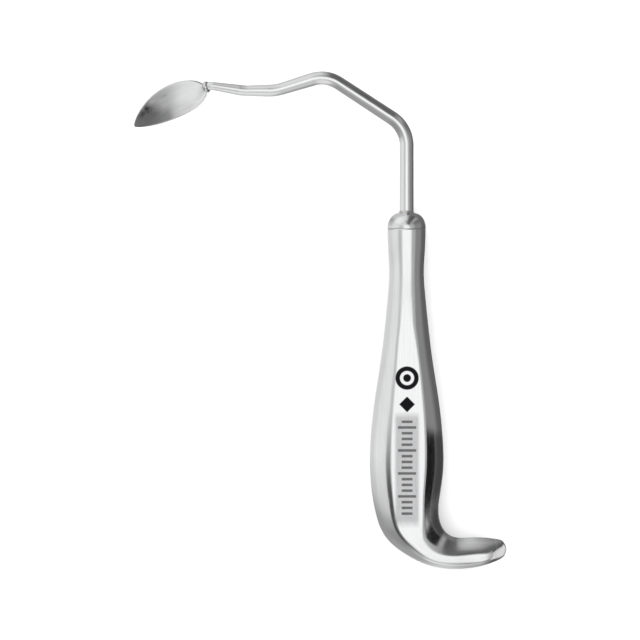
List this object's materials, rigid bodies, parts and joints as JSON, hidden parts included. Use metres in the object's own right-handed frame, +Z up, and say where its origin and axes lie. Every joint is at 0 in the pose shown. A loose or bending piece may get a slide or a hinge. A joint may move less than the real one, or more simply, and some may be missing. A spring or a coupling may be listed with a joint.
{
  "type": "cheek retractor",
  "caption": "Hand-held cheek retractor with a hollow hooked steel grip, a bent round shank and a dished leaf blade, lying on its side.",
  "frame": {"origin": "centre of the flat side panel of the grip, on the surface that the instrument lies on", "axes": "+Z up out of that surface, +Y along the grip from the hook towards the shank, +X from the grip's axis towards the finger hook"},
  "size_m": [0.124, 0.1654, 0.015],
  "materials": {
    "polished_grip_steel": "mirror-polished stainless steel with fine handling scratches",
    "polished_steel": "polished stainless steel, faint lengthways polishing lines",
    "braze_alloy": "silver brazing alloy, smooth fillet, slightly duller than the steel",
    "bare_steel": "unpolished stainless steel inside the grip"
  },
  "bodies": {
    "root": {"blade": "polished_steel", "blade_weld": "polished_steel", "shank": "polished_steel", "ferrule": "polished_steel", "ferrule_weld": "polished_steel", "shank_braze": "braze_alloy", "tang_cross_pin": "bare_steel", "handle_shell_upper": "polished_grip_steel", "handle_shell_lower": "polished_grip_steel", "seam_weld": "polished_grip_steel", "tang_support_disc": "bare_steel", "tang_braze": "braze_alloy", "hook_end_plug": "polished_grip_steel", "hook_plug_weld": "polished_grip_steel"}
  },
  "joints": []
}
